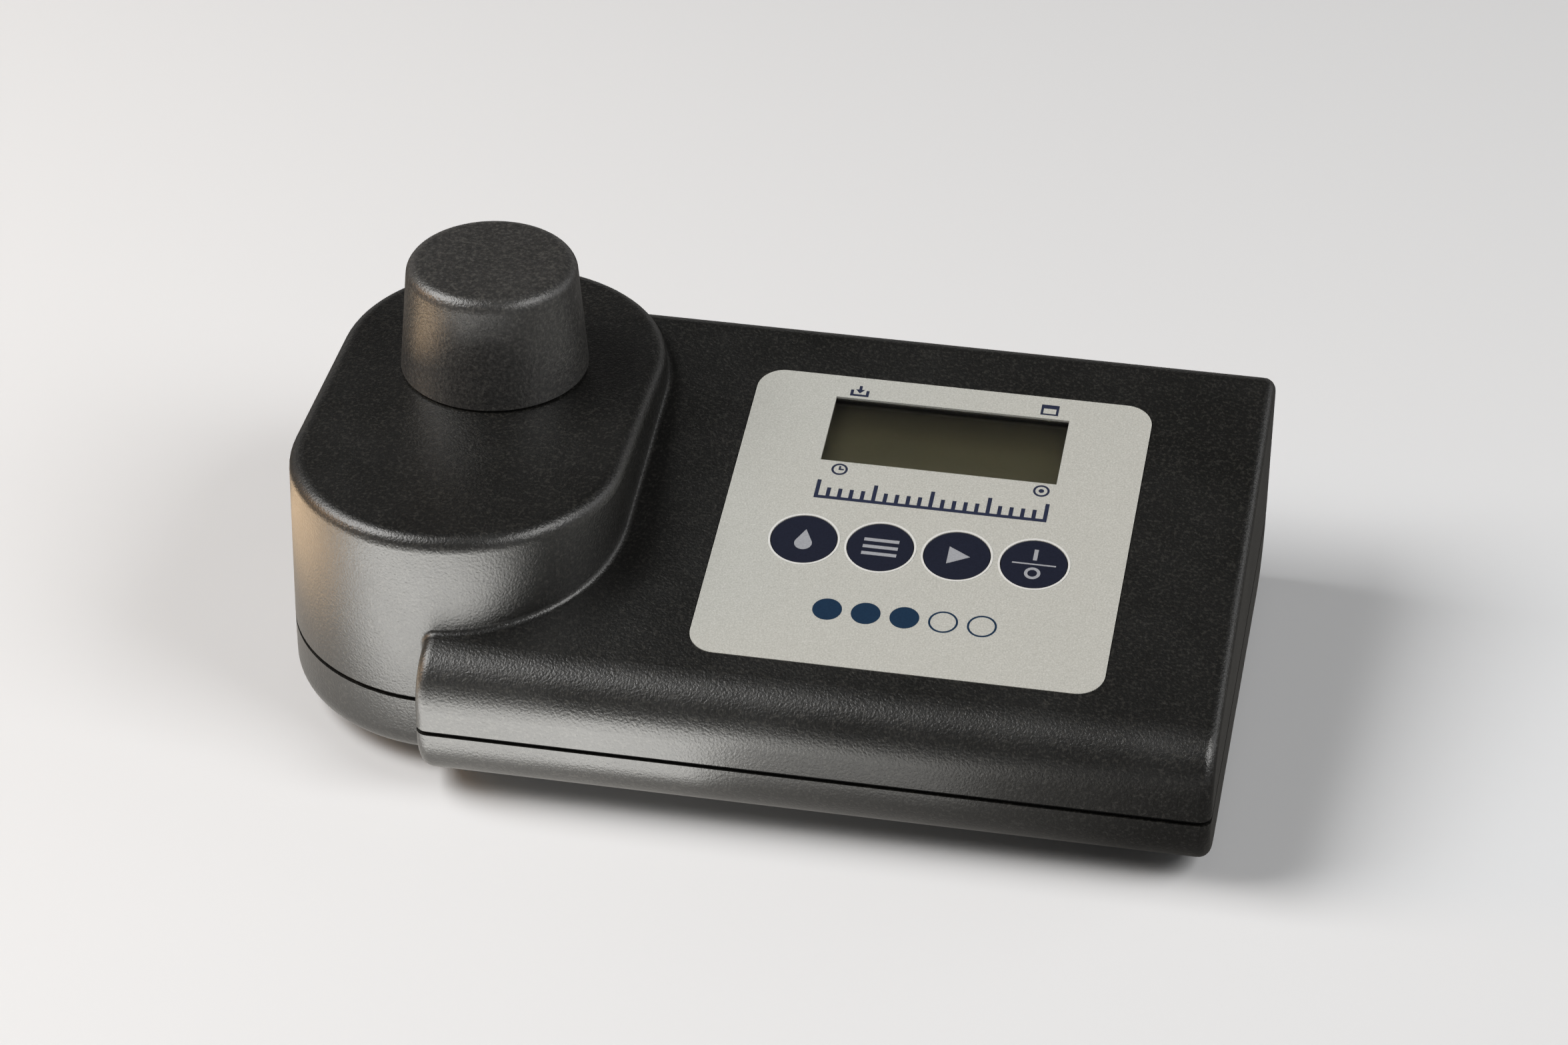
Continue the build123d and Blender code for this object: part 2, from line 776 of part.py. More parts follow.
sample_chamber.part.label = "sample_chamber"
export_step(sample_chamber.part, "parts/sample_chamber.step")

# Chamber screws, driven upwards into the tower's bosses
chamber_screw = small_screw(flange_thickness + small_thread_depth - tip_gap)
with BuildPart() as chamber_screws:
    flange_underside = Plane(origin=(chamber_x, chamber_y, flange_low_z), x_dir=(1, 0, 0), z_dir=(0, 0, -1))
    with Locations(flange_underside):
        with PolarLocations(*flange_bolts):
            add(chamber_screw)
chamber_screws.part.label = "chamber_screws"
export_step(chamber_screws.part, "parts/chamber_screws.step")

# Windows between the vial and the optics
with BuildPart() as optic_windows:
    for plane in port_planes:
        with BuildSketch(plane.offset(window_start)):
            Circle(seat_radius - part_gap)
        extrude(amount=optic_window_thickness)
optic_windows.part.label = "optic_windows"
export_step(optic_windows.part, "parts/optic_windows.step")

# Sleeves that hold the emitter and the detector on the port's axis
with BuildPart() as sensor_holders:
    for plane in port_planes:
        with BuildSketch(plane.offset(holder_start)):
            Circle(seat_radius - part_gap)
            Circle(emitter_radius + part_gap, mode=Mode.SUBTRACT)
        extrude(amount=port_reach - holder_start)
        with BuildSketch(plane.offset(port_reach - emitter_flange_height - part_gap)):
            Circle(emitter_flange_radius + part_gap)
        extrude(amount=emitter_flange_height + 1, mode=Mode.SUBTRACT)
sensor_holders.part.label = "sensor_holders"
export_step(sensor_holders.part, "parts/sensor_holders.step")

# Emitter with a domed nose, detector with a flat one
emitter_length = port_reach - holder_start - 2 * part_gap
for name, plane in [("ir_led", emitter_plane), ("photodiode", detector_plane)]:
    with BuildPart() as optic:
        with BuildSketch(plane.offset(port_reach - emitter_length)):
            Circle(emitter_radius)
        extrude(amount=emitter_length)
        if name == "ir_led":
            nose_edge = optic.edges().sort_by(Axis(plane.origin, plane.z_dir))[0]
            fillet(nose_edge, emitter_nose)
        with BuildSketch(plane.offset(port_reach - emitter_flange_height)):
            Circle(emitter_flange_radius)
        extrude(amount=emitter_flange_height)
        with BuildSketch(plane.offset(port_reach)):
            with Locations(*pin_places):
                Circle(pin_radius)
        extrude(amount=pin_reach)
    optic.part.label = name
    export_step(optic.part, "parts/" + name + ".step")

# Small boards behind the emitter and the detector
for name, plane in [("led_board", emitter_plane), ("detector_board", detector_plane)]:
    with BuildPart() as sensor_board:
        with BuildSketch(plane.offset(port_reach)):
            RectangleRounded(port_size, port_size, 1)
            with Locations(*sensor_screw_places):
                Circle(small_screw_radius + small_screw_clearance, mode=Mode.SUBTRACT)
            with Locations(*pin_places):
                Circle(pin_hole_radius, mode=Mode.SUBTRACT)
        extrude(amount=sensor_board_thickness)
    sensor_board.part.label = name
    export_step(sensor_board.part, "parts/" + name + ".step")

# Screws of the small boards
sensor_screw = small_screw(sensor_board_thickness + sensor_thread_depth - tip_gap)
with BuildPart() as sensor_board_screws:
    for plane in port_planes:
        with Locations(plane.offset(port_reach + sensor_board_thickness)):
            with Locations(*sensor_screw_places):
                add(sensor_screw)
sensor_board_screws.part.label = "sensor_board_screws"
export_step(sensor_board_screws.part, "parts/sensor_board_screws.step")

# Two-core cables from the small boards to the main board, the emitter's always above the detector's
cable_start = port_reach + sensor_board_thickness
cable_turn_y = chamber_y + cable_start + cable_bend + 0.2
connector_w = board_low_w - connector_height / 2
detector_end = deck.from_local_coords(Vector(board_left, sensor_connector_y[0], connector_w))
emitter_end = deck.from_local_coords(Vector(board_left, sensor_connector_y[1], connector_w))
detector_route = [
    (chamber_x + cable_start, chamber_y, optic_z - cable_offset),
    (chamber_x + cable_start + 6, chamber_y, optic_z - cable_offset),
    (detector_end.X - 8, detector_end.Y, detector_end.Z),
    (detector_end.X, detector_end.Y, detector_end.Z),
]
emitter_route = [
    (chamber_x, chamber_y + cable_start, optic_z + cable_offset),
    (chamber_x, cable_turn_y, optic_z + cable_offset),
    (chamber_x + 20, cable_turn_y, optic_z + cable_offset),
    (emitter_end.X - 10, emitter_end.Y, emitter_end.Z),
    (emitter_end.X, emitter_end.Y, emitter_end.Z),
]
with BuildPart() as sensor_leads:
    add(wire(detector_route, cable_bend, cable_radius))
    add(wire(emitter_route, cable_bend, cable_radius))
sensor_leads.part.label = "sensor_leads"
export_step(sensor_leads.part, "parts/sensor_leads.step")

# Light cap: a tapered cup that slips over the chamber's collar
cap_low_z = tower_top_z + seat_gap
cap_top_z = tower_top_z + cap_height
cap_inner_radius = chamber_radius + collar_gap
cap_top_radius = cap_inner_radius + cap_wall
cap_foot_radius = cap_top_radius + cap_flare
with BuildPart() as light_cap:
    with BuildSketch(Plane.XZ) as cap_section:
        with BuildLine():
            Polyline(
                (0, cap_top_z - cap_roof),
                (cap_inner_radius, cap_top_z - cap_roof),
                (cap_inner_radius, cap_low_z),
                (cap_foot_radius, cap_low_z),
                (cap_top_radius, cap_top_z),
                (0, cap_top_z),
                close=True,
            )
        make_face()
        top_corner = cap_section.vertices().group_by(Axis.Y)[-1].sort_by(Axis.X)[-1]
        fillet(top_corner, cap_edge_radius)
        foot_corner = cap_section.vertices().group_by(Axis.Y)[0].sort_by(Axis.X)[-1]
        chamfer(foot_corner, cap_foot_chamfer)
    cup = revolve(cap_section.sketch, axis=Axis.Z, mode=Mode.PRIVATE)
    with Locations((chamber_x, chamber_y, 0)):
        add(cup)
light_cap.part.label = "light_cap"
export_step(light_cap.part, "parts/light_cap.step")

# Battery with its two terminals on the left end
with BuildPart() as battery:
    with Locations((block_right_x - cell_block_length / 2, battery_y, block_mid_z)):
        Box(cell_block_length, cell_block_width, cell_block_height)
    fillet(battery.edges().filter_by(Axis.X), cell_edge_radius)
    with BuildSketch(Plane.YZ.offset(block_left_x)):
        for offset_y, radius in terminals:
            with Locations((battery_y + offset_y, block_mid_z)):
                Circle(radius)
    extrude(amount=-terminal_height)
battery.part.label = "battery"
export_step(battery.part, "parts/battery.step")

# Snap connector that clips over the terminals
with BuildPart() as battery_snap:
    with BuildSketch(Plane.YZ.offset(block_left_x)):
        with Locations((battery_y, block_mid_z)):
            RectangleRounded(cell_block_width - 1.5, snap_height, 2.5)
    extrude(amount=-snap_thickness)
    with BuildSketch(Plane.YZ.offset(block_left_x)):
        for offset_y, radius in terminals:
            with Locations((battery_y + offset_y, block_mid_z)):
                Circle(radius + part_gap)
    extrude(amount=-terminal_height - part_gap, mode=Mode.SUBTRACT)
battery_snap.part.label = "battery_snap"
export_step(battery_snap.part, "parts/battery_snap.step")

# Battery leads, up through the slot in the well's roof to the board
battery_end = deck.from_local_coords(
    Vector(battery_connector_x + connector_width / 2, battery_connector_y, connector_w)
)
snap_x = block_left_x - snap_thickness
with BuildPart() as battery_leads:
    for lead_y in (battery_y - lead_spacing / 2, battery_y + lead_spacing / 2):
        lead_route = [
            (snap_x, lead_y, block_mid_z),
            (snap_x - lead_room / 2, lead_y, block_mid_z),
            (snap_x - lead_room / 2, lead_y, battery_end.Z),
            (battery_end.X, lead_y, battery_end.Z),
        ]
        add(wire(lead_route, lead_bend, lead_radius))
battery_leads.part.label = "battery_leads"
export_step(battery_leads.part, "parts/battery_leads.step")

# Battery cover with countersunk screw holes
cover_underside = Plane(origin=(0, 0, base_z), x_dir=(1, 0, 0), z_dir=(0, 0, -1))
with BuildPart() as battery_cover:
    with BuildSketch(Plane.XY.offset(base_z)):
        with Locations((pocket_x, battery_y)):
            RectangleRounded(cover_length, cover_width, cover_corner)
    extrude(amount=cover_thickness)
    with Locations(cover_underside):
        with Locations(*[(x, -y) for x, y in cover_points]):
            CounterSinkHole(screw_radius + small_screw_clearance, countersink_radius + 0.3)
battery_cover.part.label = "battery_cover"
export_step(battery_cover.part, "parts/battery_cover.step")

# Cover screws
cover_screw = countersunk_screw(cover_thread_depth - tip_gap)
with BuildPart() as cover_screws:
    with Locations(cover_underside.offset(-0.2)):
        with Locations(*[(x, -y) for x, y in cover_points]):
            add(cover_screw)
cover_screws.part.label = "cover_screws"
export_step(cover_screws.part, "parts/cover_screws.step")

# Case screws, driven upwards through the lower shell into the upper bosses
head_seat_z = base_z + screw_recess_depth
housing_screw = case_screw(rim_low_z + case_thread_depth - tip_gap / 2 - head_seat_z)
with BuildPart() as case_screws:
    head_seat = Plane(origin=(0, 0, head_seat_z), x_dir=(1, 0, 0), z_dir=(0, 0, -1))
    with Locations(head_seat):
        with Locations(*[(x, -y) for x, y in case_points]):
            add(housing_screw)
case_screws.part.label = "case_screws"
export_step(case_screws.part, "parts/case_screws.step")

# Rubber feet
with BuildPart() as rubber_feet:
    with BuildSketch(Plane.XY.offset(base_z + foot_recess)):
        with Locations(*foot_points):
            Circle(foot_radius)
    extrude(amount=-foot_recess - foot_height)
    chamfer(rubber_feet.faces().group_by(Axis.Z)[0].edges(), foot_chamfer)
rubber_feet.part.label = "rubber_feet"
export_step(rubber_feet.part, "parts/rubber_feet.step")
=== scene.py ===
"""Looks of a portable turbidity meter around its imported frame, in metres."""

import json
from math import acos, cos, pi, radians, sin

import bmesh
import bpy
from mathutils import Euler, Matrix, Vector


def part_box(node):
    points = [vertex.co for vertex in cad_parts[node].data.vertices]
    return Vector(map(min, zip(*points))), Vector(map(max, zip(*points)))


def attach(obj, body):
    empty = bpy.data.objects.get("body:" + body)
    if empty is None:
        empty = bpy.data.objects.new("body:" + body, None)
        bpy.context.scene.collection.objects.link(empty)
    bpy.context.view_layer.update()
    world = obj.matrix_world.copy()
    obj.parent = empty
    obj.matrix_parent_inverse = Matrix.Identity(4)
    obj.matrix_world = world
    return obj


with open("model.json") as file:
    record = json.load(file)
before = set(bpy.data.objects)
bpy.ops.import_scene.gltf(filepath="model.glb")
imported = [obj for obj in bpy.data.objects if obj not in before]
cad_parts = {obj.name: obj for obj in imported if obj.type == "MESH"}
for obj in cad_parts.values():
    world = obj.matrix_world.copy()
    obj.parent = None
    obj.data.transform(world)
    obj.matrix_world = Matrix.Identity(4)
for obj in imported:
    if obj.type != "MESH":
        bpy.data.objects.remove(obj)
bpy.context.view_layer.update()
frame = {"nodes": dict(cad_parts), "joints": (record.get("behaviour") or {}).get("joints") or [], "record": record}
nodes = frame["nodes"]
MM = 0.001

# Nearly all that a noise gives lies between these
NOISE_SPAN = (0.3, 0.7)

# Depths of the marks from the foil's outer face, in millimetres
MARK_FOOT = -0.02
MARK_FACE = 0.03
RIM_FACE = 0.09

# Points of a mark that lie closer than this are one, in millimetres
WELD = 0.002

# Colours of the lamps
PLAIN = (1.0, 1.0, 1.0)
SOFT = (1.0, 0.99, 0.97)
PALE = (1.0, 0.99, 0.95)
AMBER = (1.0, 0.55, 0.20)
SAND = (1.0, 0.68, 0.38)

# The deck's own axes: along the length, up the slope, and out of the surface
press = next(j for j in frame["joints"] if j["name"] == "mode_press")
deck_out = -Vector(press["axis"]).normalized()
deck_along = Vector((1, 0, 0))
deck_up = deck_out.cross(deck_along)

# The marks are laid out from the middle of the foil's outer face
foil_low, foil_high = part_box("front_foil")
foil_thickness = 0.5 * MM
deck_centre = (foil_low + foil_high) / 2 + deck_out * foil_thickness / 2
deck_matrix = Matrix((deck_along, deck_up, deck_out)).transposed().to_4x4()
deck_matrix.translation = deck_centre


# Shader helpers


def linear(r, g, b):
    """Colour seen on a screen, 0 to 255, as the linear colour that a shader takes, by the sRGB curve."""
    return tuple(((c / 255 + 0.055) / 1.055) ** 2.4 if c > 10 else c / 3295 for c in (r, g, b))


def shader(name, colour, roughness, metallic=0.0, specular=0.5):
    """A material with its main shader set, and its node tree for what is added."""
    material = bpy.data.materials.new(name)
    material.use_nodes = True
    tree = material.node_tree
    main = tree.nodes["Principled BSDF"]
    main.inputs["Base Color"].default_value = (*colour, 1)
    main.inputs["Roughness"].default_value = roughness
    main.inputs["Metallic"].default_value = metallic
    main.inputs["Specular IOR Level"].default_value = specular
    return material, tree, main


def noise(tree, size, detail=2, roughness=0.5):
    """Noise over the object with features of about that size, in metres."""
    place = tree.nodes.new("ShaderNodeTexCoord")
    texture = tree.nodes.new("ShaderNodeTexNoise")
    texture.inputs["Scale"].default_value = 1 / size
    texture.inputs["Detail"].default_value = detail
    texture.inputs["Roughness"].default_value = roughness
    tree.links.new(place.outputs["Object"], texture.inputs["Vector"])
    return texture.outputs["Fac"]


def ramp(tree, value, stops):
    """Colour ramp over a value. Stops are pairs of a place and a linear colour."""
    node = tree.nodes.new("ShaderNodeValToRGB")
    first, *between, last = stops
    for element, (place, colour) in zip(node.color_ramp.elements, (first, last)):
        element.position = place
        element.color = (*colour, 1)
    for place, colour in between:
        node.color_ramp.elements.new(place).color = (*colour, 1)
    tree.links.new(value, node.inputs["Fac"])
    return node.outputs["Color"]


def tint(tree, main, value, stops):
    """Base colour from a colour ramp over a value."""
    tree.links.new(ramp(tree, value, stops), main.inputs["Base Color"])


def bump(tree, main, height, strength, depth):
    """Bump on the main shader from a height."""
    node = tree.nodes.new("ShaderNodeBump")
    node.inputs["Strength"].default_value = strength
    node.inputs["Distance"].default_value = depth
    tree.links.new(height, node.inputs["Height"])
    tree.links.new(node.outputs["Normal"], main.inputs["Normal"])


def map_range(tree, value, source, target=(0.0, 1.0)):
    """Value carried from one range to another."""
    node = tree.nodes.new("ShaderNodeMapRange")
    for name, number in zip(("From Min", "From Max", "To Min", "To Max"), (*source, *target)):
        node.inputs[name].default_value = number
    tree.links.new(value, node.inputs["Value"])
    return node.outputs["Result"]


def vary_roughness(tree, main, patch, low, high):
    """Roughness that wanders between two values over patches of about that size."""
    wander = map_range(tree, noise(tree, patch, detail=3), NOISE_SPAN, (low, high))
    tree.links.new(wander, main.inputs["Roughness"])


# Materials


def moulded(name, dark, mid, light, roughness, strength, grain=0.35 * MM, specular=0.5, ior=1.5):
    """Moulded plastic with a fine eroded texture and a scatter of lighter specks."""
    material, tree, main = shader(name, mid, roughness, specular=specular)
    main.inputs["IOR"].default_value = ior
    specks = noise(tree, grain * 1.4, detail=3, roughness=0.6)
    tint(tree, main, specks, [(0.34, dark), (0.52, mid), (0.66, light)])
    bump(tree, main, noise(tree, grain), strength, depth=0.12 * MM)
    vary_roughness(tree, main, patch=18 * MM, low=roughness - 0.03, high=roughness + 0.04)
    return material


def rubber(name, colour):
    """Matt rubber with a faint bloom."""
    bloom = tuple(c * 1.6 + 0.004 for c in colour)
    material, tree, main = shader(name, colour, roughness=0.75, specular=0.3)
    tint(tree, main, noise(tree, 2.5 * MM, detail=4), [(0.35, colour), (0.75, bloom)])
    bump(tree, main, noise(tree, 0.4 * MM), strength=0.2, depth=0.05 * MM)
    return material


def metal(name, colour, roughness):
    """Plated metal with fine uneven colour and gloss."""
    material, tree, main = shader(name, colour, roughness, metallic=1.0)
    shade = tuple(c * 0.8 for c in colour)
    tint(tree, main, noise(tree, 0.8 * MM, detail=4), [(0.35, shade), (0.65, colour)])
    vary_roughness(tree, main, patch=0.6 * MM, low=roughness * 0.8, high=roughness * 1.3)
    return material


def clear(name, colour, roughness):
    """Clear pane."""
    material, tree, main = shader(name, colour, roughness)
    main.inputs["Transmission Weight"].default_value = 1.0
    main.inputs["IOR"].default_value = 1.49
    vary_roughness(tree, main, patch=8 * MM, low=roughness, high=roughness + 0.04)
    return material


def foil_grain(tree, main):
    """The foil's fine grain as bump, which what is printed on it shares."""
    bump(tree, main, noise(tree, 0.22 * MM), strength=0.10, depth=0.02 * MM)


def foil_print():
    """Silver-grey printed foil with a fine pearl grain."""
    mid = linear(190, 190, 184)
    material, tree, main = shader("foil_print", mid, roughness=0.45, specular=0.4)
    pearl = noise(tree, 0.30 * MM, roughness=0.6)
    tint(tree, main, pearl, [(0.30, linear(176, 176, 170)), (0.52, mid), (0.72, linear(204, 204, 199))])
    foil_grain(tree, main)
    vary_roughness(tree, main, patch=14 * MM, low=0.42, high=0.50)
    return material


def ink(name, colour, light):
    """Printed ink with the foil's fine grain."""
    material, tree, main = shader(name, colour, roughness=0.45, specular=0.4)
    tint(tree, main, noise(tree, 0.35 * MM, detail=3, roughness=0.7), [(0.3, colour), (0.75, light)])
    foil_grain(tree, main)
    return material


def display_face():
    """Unlit reflective display: olive grey, with painted shade that darkens it towards its upper edge, where the
    bezel's shadow falls.
    """
    material, tree, main = shader("display_face", linear(96, 91, 72), roughness=0.35, specular=0.4)
    place = tree.nodes.new("ShaderNodeTexCoord")
    rise = tree.nodes.new("ShaderNodeVectorMath")
    rise.operation = "DOT_PRODUCT"
    rise.inputs[1].default_value = deck_up
    tree.links.new(place.outputs["Object"], rise.inputs[0])
    low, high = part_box("lcd_glass")
    middle = ((low + high) / 2).dot(deck_up)
    half_height = 11 * MM
    upward = map_range(tree, rise.outputs["Value"], (middle - half_height, middle + half_height))
    # Ramp up the display: its darker upper stops are painted shade of the bezel's shadow.
    olive = [(0.0, linear(110, 106, 86)), (0.55, linear(94, 90, 70))]
    olive += [(0.85, linear(62, 58, 44)), (1.0, linear(44, 41, 31))]
    grain = [(0.35, (0.88, 0.88, 0.88)), (0.65, (1.0, 1.0, 1.0))]
    mix = tree.nodes.new("ShaderNodeMix")
    mix.data_type = "RGBA"
    mix.blend_type = "MULTIPLY"
    mix.inputs["Factor"].default_value = 1.0
    tree.links.new(ramp(tree, upward, olive), mix.inputs["A"])
    tree.links.new(ramp(tree, noise(tree, 0.4 * MM), grain), mix.inputs["B"])
    tree.links.new(mix.outputs["Result"], main.inputs["Base Color"])
    bump(tree, main, noise(tree, 0.35 * MM), strength=0.05, depth=0.02 * MM)
    return material


def board_green():
    """Solder mask with paler lines over the traces."""
    material, tree, main = shader("board_green", (0.012, 0.07, 0.03), roughness=0.35)
    mask, trace = (0.010, 0.06, 0.026), (0.03, 0.13, 0.05)
    tint(tree, main, noise(tree, 3 * MM, detail=1), [(0.47, mask), (0.50, trace), (0.53, mask)])
    return material


# Material slot: its material
finishes = {
    "foil": foil_print(),
    "key_print": ink("key_ink", linear(18, 22, 38), linear(30, 34, 52)),
    "display_cell": display_face(),
    "circuit_board": board_green(),
    "clear_pane": clear("clear_pane", (0.95, 0.95, 0.93), roughness=0.02),
    "optic_glass": clear("optic_glass", (0.95, 0.97, 0.97), roughness=0.01),
    "screw_steel": metal("plated_screw", (0.62, 0.62, 0.60), roughness=0.32),
    "spring_steel": metal("spring_steel", (0.74, 0.72, 0.68), roughness=0.22),
    "wire_cover": rubber("wire_cover", linear(120, 30, 28)),
    "seal_rubber": rubber("seal_rubber", linear(16, 16, 16)),
    "foot_rubber": rubber("foot_rubber", linear(42, 42, 43)),
}

# Textures of the moulded plastics
eroded = {"strength": 0.85, "grain": 0.5 * MM, "specular": 0.6, "ior": 1.7}
satin = {"strength": 0.15}
smooth = {"strength": 0.05}

# Material slot: name, dark, middle and light colour on a screen, roughness, and texture
plastics = {
    "housing": ("housing_plastic", (7, 7, 6), (12, 12, 10), (42, 41, 38), 0.37, eroded),
    "cap_plastic": ("cap_plastic", (36, 36, 35), (50, 49, 48), (72, 71, 68), 0.38, eroded),
    "black_plastic": ("black_plastic", (20, 20, 21), (27, 27, 28), (38, 38, 39), 0.5, satin),
    "flex_film": ("amber_film", (150, 90, 20), (170, 105, 30), (185, 120, 45), 0.3, smooth),
    "clear_film": ("plain_film", (185, 185, 178), (200, 200, 192), (210, 210, 204), 0.35, smooth),
    "battery_jacket": ("battery_jacket", (70, 74, 80), (84, 88, 95), (96, 100, 108), 0.3, smooth),
    "emitter_body": ("tinted_epoxy", (40, 34, 52), (50, 42, 64), (60, 52, 76), 0.15, smooth),
}
for slot, (name, dark, mid, light, roughness, texture) in plastics.items():
    finishes[slot] = moulded(name, linear(*dark), linear(*mid), linear(*light), roughness, **texture)

slots = {s["node"]: s["material_slot"] for s in frame["record"]["subparts"]}
for name, node in nodes.items():
    node.data.materials.clear()
    node.data.materials.append(finishes[slots[name]])


# Outlines of the marks, in millimetres about their own middle


def circle(radius, x=0, y=0, points=48):
    """Ring of points round a centre."""
    turn = 2 * pi / points
    return [(x + radius * cos(turn * i), y + radius * sin(turn * i)) for i in range(points)]


def bar(width, height, y=0):
    """Rectangle about a point on the upright axis."""
    right, top = width / 2, height / 2
    return [(-right, y - top), (right, y - top), (right, y + top), (-right, y + top)]


def droplet(radius, reach, y=0, steps=32):
    """Drop: a round foot whose sides run straight up to a point at a distance of reach."""
    lean = acos(radius / reach)
    sweep = 2 * pi - 2 * lean
    arc = [pi / 2 + lean + sweep * i / steps for i in range(steps + 1)]
    return [(0, y + reach)] + [(radius * cos(a), y + radius * sin(a)) for a in arc]


def pointer(width, height, x=0):
    """Triangle that points to the right."""
    return [(x - width / 2, -height / 2), (x + width / 2, 0), (x - width / 2, height / 2)]


def comb(pitch, ticks, width, short, tall, rail):
    """Graduated scale: a rail with upright ticks, each fifth one taller."""
    reach = pitch * (ticks - 1) / 2
    outline = [(-reach - width / 2, -rail), (reach + width / 2, -rail)]
    for i in reversed(range(ticks)):
        left, right = pitch * i - reach - width / 2, pitch * i - reach + width / 2
        height = tall if i % 5 == 0 else short
        outline += [(right, 0), (right, height), (left, height), (left, 0)]
    return outline


def moved(rings, x, y):
    """Rings moved by a distance."""
    return [[(px + x, py + y) for px, py in ring] for ring in rings]


def stamp(name, rings, body, material, face=MARK_FACE):
    """Thin closed print on the deck. Rings are points in millimetres from the foil's centre."""
    curve = bpy.data.curves.new(name, "CURVE")
    curve.dimensions = "2D"
    curve.fill_mode = "BOTH"
    curve.extrude = (face - MARK_FOOT) / 2 * MM
    for ring in rings:
        spline = curve.splines.new("POLY")
        spline.points.add(len(ring) - 1)
        for point, (x, y) in zip(spline.points, ring):
            point.co = (x * MM, y * MM, 0, 1)
        spline.use_cyclic_u = True
    source = bpy.data.objects.new(name + "_outline", curve)
    bpy.context.scene.collection.objects.link(source)
    bpy.context.view_layer.update()
    mesh = bpy.data.meshes.new_from_object(source)
    bpy.data.objects.remove(source)
    bpy.data.curves.remove(curve)
    shaped = bmesh.new()
    shaped.from_mesh(mesh)
    bmesh.ops.remove_doubles(shaped, verts=shaped.verts, dist=WELD * MM)
    bmesh.ops.recalc_face_normals(shaped, faces=shaped.faces)
    shaped.to_mesh(mesh)
    shaped.free()
    mesh.transform(deck_matrix @ Matrix.Translation((0, 0, (face + MARK_FOOT) / 2 * MM)))
    mesh.materials.clear()
    mesh.materials.append(material)
    mesh.name = name
    piece = bpy.data.objects.new(name, mesh)
    bpy.context.scene.collection.objects.link(piece)
    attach(piece, body)


def deck_place(node):
    """Centre of a node along the deck and up it, in millimetres from the foil's centre."""
    low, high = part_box(node)
    offset = (low + high) / 2 - deck_centre
    return offset.dot(deck_along) / MM, offset.dot(deck_up) / MM


def key_marks():
    """Light marks on the four keys: a drop, a list, a pointer, and on over off."""
    pale = ink("pale_ink", linear(150, 152, 158), linear(172, 174, 180))
    marks = {
        "info": [droplet(radius=1.75, reach=3.9, y=-1.1)],
        "mode": [bar(7.0, 0.85, y=rise) for rise in (-1.9, 0, 1.9)],
        "read": [pointer(4.4, 4.8, x=0.4)],
        "power": [bar(0.8, 3.0, y=2.6), bar(8.7, 0.35), circle(1.6, y=-2.5), circle(0.95, y=-2.5)],
    }
    for key, rings in marks.items():
        placed = moved(rings, *deck_place("key_" + key))
        stamp("mark_" + key, placed, key + "_key", pale)


def foil_marks():
    """Dark marks on the foil: four small signs by the display, a plain scale and a row of dots."""
    dark = ink("dark_ink", linear(34, 40, 62), linear(44, 50, 74))
    teal = ink("teal_ink", linear(14, 40, 66), linear(24, 52, 78))
    x, y = deck_place("lcd_window")
    tray = [(-1.9, 0.3), (-1.9, -1.5), (1.9, -1.5), (1.9, 0.3)]
    tray += [(1.3, 0.3), (1.3, -0.95), (-1.3, -0.95), (-1.3, 0.3)]
    arrow = [(-0.3, 1.6), (-0.3, 0.5), (-0.95, 0.5), (0, -0.6), (0.95, 0.5), (0.3, 0.5), (0.3, 1.6)]
    hands = [(-0.2, 0.95), (-0.2, -0.2), (0.85, -0.2), (0.85, 0.2), (0.2, 0.2), (0.2, 0.95)]
    dial = [circle(1.65), circle(1.2)]
    # Sign: its rings, and its place from the middle of the display
    signs = {
        "tray": ([tray, arrow], -19.4, 11.6),
        "sheet": ([bar(3.6, 3.0), bar(2.6, 1.5, y=-0.35)], 19.6, 11.9),
        "clock": (dial + [hands], -19.6, -11.7),
        "target": (dial + [circle(0.55)], 21.2, -11.7),
    }
    for sign, (rings, along, up) in signs.items():
        stamp("sign_" + sign, moved(rings, x + along, y + up), "housing", dark)
    scale = comb(pitch=2.3, ticks=21, width=0.8, short=2.4, tall=4.4, rail=0.8)
    below_display = 19.6
    stamp("scale", moved([scale], x, y - below_display), "housing", dark)
    # Three full dots, and two that are rings
    radius, hole, spacing = 2.9, 2.5, 7.6
    dots = [circle(radius, x=spacing * i) for i in (-2, -1, 0, 1, 2)]
    dots += [circle(hole, x=spacing * i) for i in (1, 2)]
    below_keys = 18.4
    row = moved(dots, x, deck_place("key_mode")[1] - below_keys)
    stamp("dots", row, "housing", teal)


def key_rims():
    """Raised rim of the foil around each key, in a lighter ink that is a painted highlight."""
    # Ink lighter than the foil: a painted highlight on each rim.
    pearl = ink("rim_painted_highlight", linear(214, 214, 211), linear(230, 230, 228))
    low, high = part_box("key_mode")
    radius = (high.x - low.x) / 2 / MM
    gap, width = 0.2, 0.4
    rim = [circle(radius + gap + width, points=96), circle(radius + gap, points=96)]
    for name in ("key_info", "key_mode", "key_read", "key_power"):
        stamp("rim_" + name, moved(rim, *deck_place(name)), "housing", pearl, RIM_FACE)


# Studio


def softbox(name, place, aim, width, height, power, colour):
    """Rectangular area light at a place, turned towards a point."""
    light = bpy.data.lights.new(name, "AREA")
    light.shape = "RECTANGLE"
    light.size = width
    light.size_y = height
    light.energy = power
    light.color = colour
    lamp = bpy.data.objects.new(name, light)
    lamp.location = place
    lamp.rotation_euler = (Vector(aim) - Vector(place)).to_track_quat("-Z", "Y").to_euler()
    bpy.context.scene.collection.objects.link(lamp)
    return lamp


def floor_card(name, x, y, width, height, power, colour):
    """Faint upward light just above the floor, which the upright walls mirror and the camera doesn't see."""
    lift = 2 * MM
    card = softbox(name, (x, y, lift), (x, y, 1), width, height, power, colour)
    card.visible_camera = False


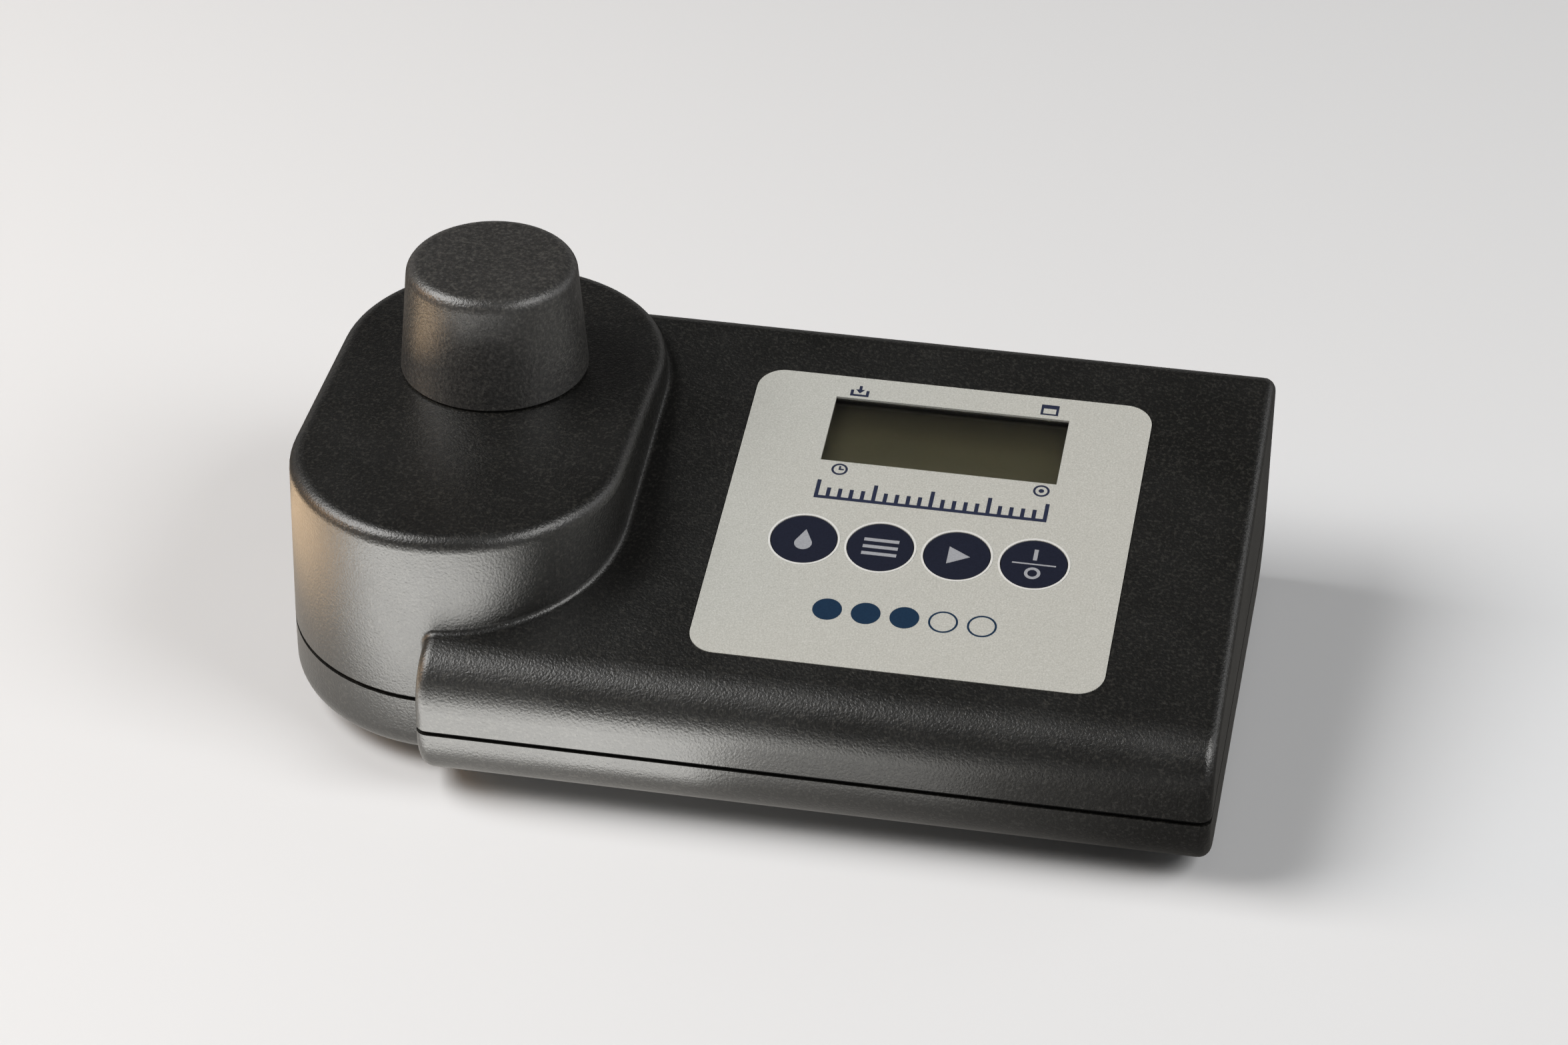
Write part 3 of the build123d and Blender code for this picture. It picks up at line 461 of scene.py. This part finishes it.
def lay_floor():
    """Plain pale floor. Glossy rays alone see it as a dim glow, with a pale pool of glow by the meter's left
    front: a painted reflection on the meter's walls.
    """
    side = 8.0
    pool_centre = (-0.11, -0.12, 0)
    pool_radius = 0.20
    full_pool = 0.65
    dim, bright = 0.12, 1.0
    mesh = bpy.data.meshes.new("floor")
    corners = [(x, y, 0) for x, y in bar(side, side)]
    mesh.from_pydata(corners, [], [(0, 1, 2, 3)])
    floor = bpy.data.objects.new("floor", mesh)
    bpy.context.scene.collection.objects.link(floor)
    material, tree, main = shader("floor_paint", (0.84, 0.85, 0.87), roughness=0.7, specular=0.2)
    mesh.materials.append(material)
    place = tree.nodes.new("ShaderNodeTexCoord")
    shift = tree.nodes.new("ShaderNodeMapping")
    shift.vector_type = "TEXTURE"
    shift.inputs["Location"].default_value = pool_centre
    shift.inputs["Scale"].default_value = (pool_radius, pool_radius, pool_radius)
    pool = tree.nodes.new("ShaderNodeTexGradient")
    pool.gradient_type = "SPHERICAL"
    tree.links.new(place.outputs["Object"], shift.inputs["Vector"])
    tree.links.new(shift.outputs["Vector"], pool.inputs["Vector"])
    # Glow that only glossy rays see: a painted reflection, strongest in the pool.
    glow = tree.nodes.new("ShaderNodeEmission")
    glow.inputs["Color"].default_value = (1.0, 0.96, 0.90, 1)
    strength = map_range(tree, pool.outputs["Fac"], (0.0, full_pool), (dim, bright))
    tree.links.new(strength, glow.inputs["Strength"])
    rays = tree.nodes.new("ShaderNodeLightPath")
    mix = tree.nodes.new("ShaderNodeMixShader")
    tree.links.new(rays.outputs["Is Glossy Ray"], mix.inputs["Fac"])
    tree.links.new(main.outputs["BSDF"], mix.inputs[1])
    tree.links.new(glow.outputs["Emission"], mix.inputs[2])
    tree.links.new(mix.outputs["Shader"], tree.nodes["Material Output"].inputs["Surface"])


def surround():
    """World that is pale at the horizon and dim above."""
    dim_from, horizon, above = 0.30, 0.55, 0.04
    world = bpy.data.worlds.new("surround")
    world.use_nodes = True
    tree = world.node_tree
    sky = tree.nodes["Background"]
    sky.inputs["Color"].default_value = (1.0, 0.98, 0.96, 1)
    place = tree.nodes.new("ShaderNodeTexCoord")
    split = tree.nodes.new("ShaderNodeSeparateXYZ")
    tree.links.new(place.outputs["Generated"], split.inputs["Vector"])
    fade = map_range(tree, split.outputs["Z"], (0.0, dim_from), (horizon, above))
    tree.links.new(fade, sky.inputs["Strength"])
    bpy.context.scene.world = world


def aim_camera():
    """Camera at the photograph's place: its view was solved from the foil, the keys and the seams."""
    target = Vector((-0.75 * MM, 14.9 * MM, 25 * MM))
    distance = 0.9357
    azimuth = radians(10.32)
    elevation = radians(34.26)
    roll = radians(0.42)
    camera = bpy.data.objects.new("camera", bpy.data.cameras.new("camera"))
    camera.data.lens = 105.2
    camera.data.sensor_width = 36
    back = Vector((sin(azimuth) * cos(elevation), -cos(azimuth) * cos(elevation), sin(elevation)))
    camera.location = target + back * distance
    turn = Euler((pi / 2 - elevation, 0, azimuth)).to_matrix().to_4x4()
    camera.rotation_euler = (turn @ Matrix.Rotation(roll, 4, "Z")).to_euler()
    bpy.context.scene.collection.objects.link(camera)
    bpy.context.scene.camera = camera


key_marks()
foil_marks()
key_rims()
lay_floor()
surround()
aim_camera()

# Name, place, what it is turned to, width, height, power in watts, colour
for lamp in (
    ("left_box", (-0.85, -0.20, 1.00), (0, 0, 0), 0.8, 0.8, 15, SOFT),
    ("right_box", (0.95, -0.30, 0.95), (0, 0, 0), 0.7, 0.7, 8, SOFT),
    ("low_box", (-0.85, -0.12, 0.30), (-0.06, 0, 0.05), 0.3, 0.3, 1.0, AMBER),
    ("back_box", (1.15, 0.50, 0.45), (0, 0, 0.03), 0.9, 0.5, 1.5, PLAIN),
):
    softbox(*lamp)

# Name, place on the floor, width, height, power in watts, colour
for card in (
    ("front_card", -0.085, -0.1325, 0.16, 0.135, 0.32, PALE),
    ("side_card", 0.02, -0.13, 0.05, 0.11, 0.02, PALE),
    ("left_card", -0.19, -0.03, 0.12, 0.12, 0.12, SAND),
):
    floor_card(*card)
bpy.context.scene.view_settings.view_transform = "Standard"
